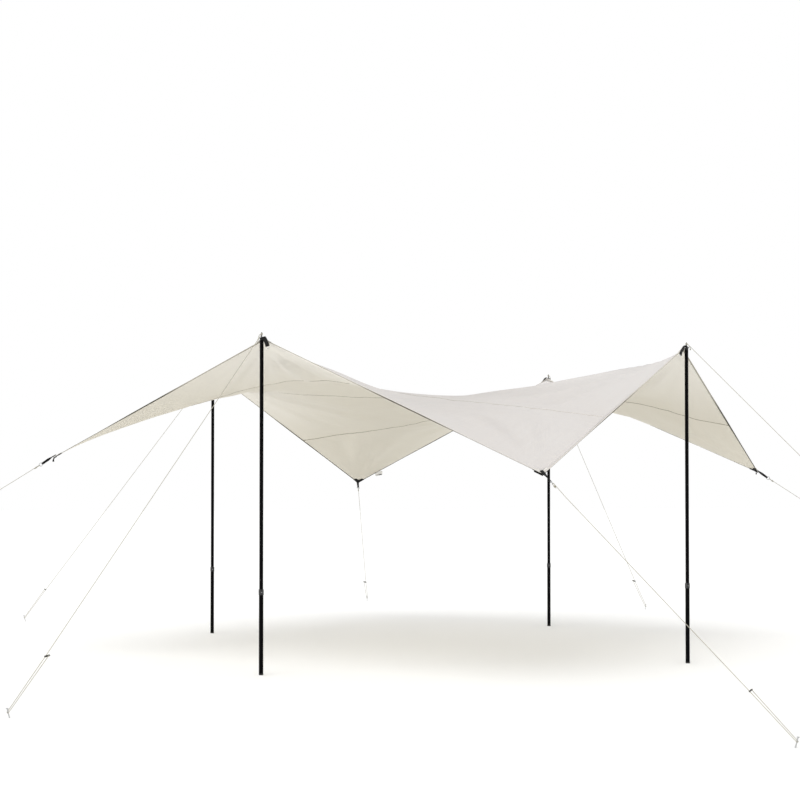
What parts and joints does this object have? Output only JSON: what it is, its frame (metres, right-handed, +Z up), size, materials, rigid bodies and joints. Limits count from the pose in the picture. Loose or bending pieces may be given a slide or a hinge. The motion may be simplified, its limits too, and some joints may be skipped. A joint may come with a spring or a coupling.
{
  "type": "camping canopy tarp on poles",
  "caption": "Square saddle-shaped camp tarp held up at the middle of its sides by telescopic poles, its corners pulled down by guy ropes to stakes.",
  "frame": {"origin": "on the ground, at the centre of the whole pitch with its stakes", "axes": "+Z up, -Y to the front of the picture, -X to its left; the poles stand at the four diagonals and the cloth's corners point along X and Y"},
  "size_m": [11.0616, 10.6603, 2.45],
  "materials": {
    "canopy_cloth": "matt woven beige cloth",
    "edge_tape": "matt olive grey binding",
    "webbing": "matt black woven tape",
    "guy_rope": "braided pale rope",
    "pole_tube": "black anodised tube",
    "black_plastic": "moulded black plastic",
    "foot_rubber": "moulded black rubber",
    "stake_steel": "plain bright steel"
  },
  "bodies": {
    "tarp_and_poles": {"canopy_sheet": "canopy_cloth", "upper_tube_front_left": "pole_tube", "pole_tip_front_left": "black_plastic", "edge_tape_front_left": "edge_tape", "pole_webbing_front_left": "webbing", "upper_tube_front_right": "pole_tube", "pole_tip_front_right": "black_plastic", "edge_tape_front_right": "edge_tape", "pole_webbing_front_right": "webbing", "upper_tube_back_right": "pole_tube", "pole_tip_back_right": "black_plastic", "edge_tape_back_right": "edge_tape", "pole_webbing_back_right": "webbing", "upper_tube_back_left": "pole_tube", "pole_tip_back_left": "black_plastic", "edge_tape_back_left": "edge_tape", "pole_webbing_back_left": "webbing", "corner_webbing_left": "webbing", "corner_webbing_front": "webbing", "corner_webbing_right": "webbing", "corner_webbing_back": "webbing", "guy_rope_front_left": "guy_rope", "stake_front_left": "stake_steel", "guy_rope_front_right": "guy_rope", "stake_front_right": "stake_steel", "guy_rope_back_right": "guy_rope", "stake_back_right": "stake_steel", "guy_rope_back_left": "guy_rope", "stake_back_left": "stake_steel", "guy_rope_left": "guy_rope", "stake_left": "stake_steel", "guy_rope_front": "guy_rope", "stake_front": "stake_steel", "guy_rope_right": "guy_rope", "stake_right": "stake_steel", "guy_rope_back": "guy_rope", "stake_back": "stake_steel"},
    "front_left_leg": {"lower_tube_front_left": "pole_tube", "foot_front_left": "foot_rubber"},
    "front_right_leg": {"lower_tube_front_right": "pole_tube", "foot_front_right": "foot_rubber"},
    "back_right_leg": {"lower_tube_back_right": "pole_tube", "foot_back_right": "foot_rubber"},
    "back_left_leg": {"lower_tube_back_left": "pole_tube", "foot_back_left": "foot_rubber"}
  },
  "joints": [
    {"name": "front_left_leg_slide", "type": "slide", "parent": "tarp_and_poles", "child": "front_left_leg", "axis": [0, 0, 1], "range_m": [0, 0.36]},
    {"name": "front_right_leg_slide", "type": "slide", "parent": "tarp_and_poles", "child": "front_right_leg", "axis": [0, 0, 1], "range_m": [0, 0.36]},
    {"name": "back_right_leg_slide", "type": "slide", "parent": "tarp_and_poles", "child": "back_right_leg", "axis": [0, 0, 1], "range_m": [0, 0.36]},
    {"name": "back_left_leg_slide", "type": "slide", "parent": "tarp_and_poles", "child": "back_left_leg", "axis": [0, 0, 1], "range_m": [0, 0.36]}
  ]
}
